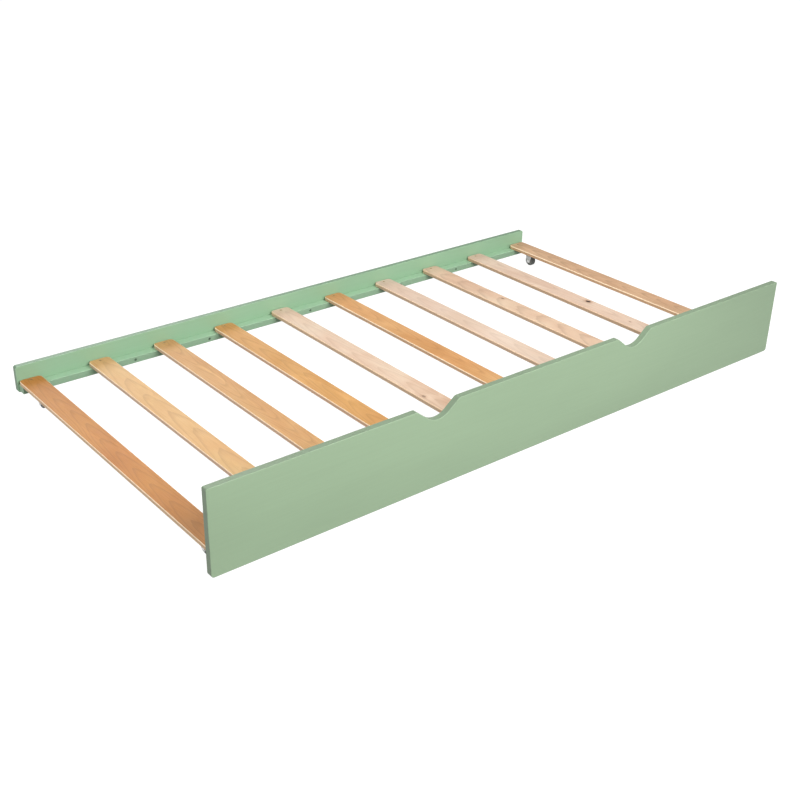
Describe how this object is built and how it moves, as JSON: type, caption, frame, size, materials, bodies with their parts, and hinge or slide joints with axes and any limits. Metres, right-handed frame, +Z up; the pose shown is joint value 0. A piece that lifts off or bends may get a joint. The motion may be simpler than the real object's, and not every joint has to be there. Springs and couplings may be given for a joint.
{
  "type": "trundle bed",
  "caption": "Low slatted roll-out bed with a tall painted front panel with hand scoops, a narrow back rail, cross slats and small fixed casters.",
  "frame": {"origin": "on the floor, under the middle of the bed", "axes": "+X along the bed, +Y from the front panel to the back rail, +Z up"},
  "size_m": [1.9, 1.05, 0.228],
  "materials": {
    "sage_paint": "sage green satin paint on board and batten",
    "slat_wood": "clear-sealed planed wood with a layered edge",
    "screw_steel": "yellow-brown passivated steel",
    "fork_steel": "zinc-plated pressed steel",
    "axle_steel": "bright riveted steel pin",
    "wheel_plastic": "moulded grey nylon",
    "tyre_rubber": "dark grey soft rubber tread"
  },
  "bodies": {
    "frame": {"front_panel": "sage_paint", "back_rail": "sage_paint", "front_ledger": "sage_paint", "back_ledger": "sage_paint", "ledger_screw_front_1": "screw_steel", "ledger_screw_front_2": "screw_steel", "ledger_screw_front_3": "screw_steel", "ledger_screw_front_4": "screw_steel", "ledger_screw_front_5": "screw_steel", "ledger_screw_back_1": "screw_steel", "ledger_screw_back_2": "screw_steel", "ledger_screw_back_3": "screw_steel", "ledger_screw_back_4": "screw_steel", "ledger_screw_back_5": "screw_steel", "slat_01": "slat_wood", "slat_02": "slat_wood", "slat_03": "slat_wood", "slat_04": "slat_wood", "slat_05": "slat_wood", "slat_06": "slat_wood", "slat_07": "slat_wood", "slat_08": "slat_wood", "slat_09": "slat_wood", "slat_10": "slat_wood", "slat_screw_front_01": "screw_steel", "slat_screw_front_02": "screw_steel", "slat_screw_front_03": "screw_steel", "slat_screw_front_04": "screw_steel", "slat_screw_front_05": "screw_steel", "slat_screw_front_06": "screw_steel", "slat_screw_front_07": "screw_steel", "slat_screw_front_08": "screw_steel", "slat_screw_front_09": "screw_steel", "slat_screw_front_10": "screw_steel", "slat_screw_back_01": "screw_steel", "slat_screw_back_02": "screw_steel", "slat_screw_back_03": "screw_steel", "slat_screw_back_04": "screw_steel", "slat_screw_back_05": "screw_steel", "slat_screw_back_06": "screw_steel", "slat_screw_back_07": "screw_steel", "slat_screw_back_08": "screw_steel", "slat_screw_back_09": "screw_steel", "slat_screw_back_10": "screw_steel", "caster_front_left_fork": "fork_steel", "caster_front_right_fork": "fork_steel", "caster_back_left_fork": "fork_steel", "caster_back_right_fork": "fork_steel", "caster_front_left_axle": "axle_steel", "caster_front_right_axle": "axle_steel", "caster_back_left_axle": "axle_steel", "caster_back_right_axle": "axle_steel"},
    "wheel_front_left": {"caster_front_left_wheel": "wheel_plastic", "caster_front_left_tyre": "tyre_rubber"},
    "wheel_front_right": {"caster_front_right_wheel": "wheel_plastic", "caster_front_right_tyre": "tyre_rubber"},
    "wheel_back_left": {"caster_back_left_wheel": "wheel_plastic", "caster_back_left_tyre": "tyre_rubber"},
    "wheel_back_right": {"caster_back_right_wheel": "wheel_plastic", "caster_back_right_tyre": "tyre_rubber"}
  },
  "joints": [
    {"name": "roll_front_left", "type": "hinge", "parent": "frame", "child": "wheel_front_left", "pos_m": [-0.9, -0.425, 0.0175], "axis": [1, 0, 0], "continuous": true},
    {"name": "roll_front_right", "type": "hinge", "parent": "frame", "child": "wheel_front_right", "pos_m": [0.9, -0.425, 0.0175], "axis": [1, 0, 0], "continuous": true},
    {"name": "roll_back_left", "type": "hinge", "parent": "frame", "child": "wheel_back_left", "pos_m": [-0.9, 0.427, 0.0175], "axis": [1, 0, 0], "continuous": true},
    {"name": "roll_back_right", "type": "hinge", "parent": "frame", "child": "wheel_back_right", "pos_m": [0.9, 0.427, 0.0175], "axis": [1, 0, 0], "continuous": true}
  ]
}
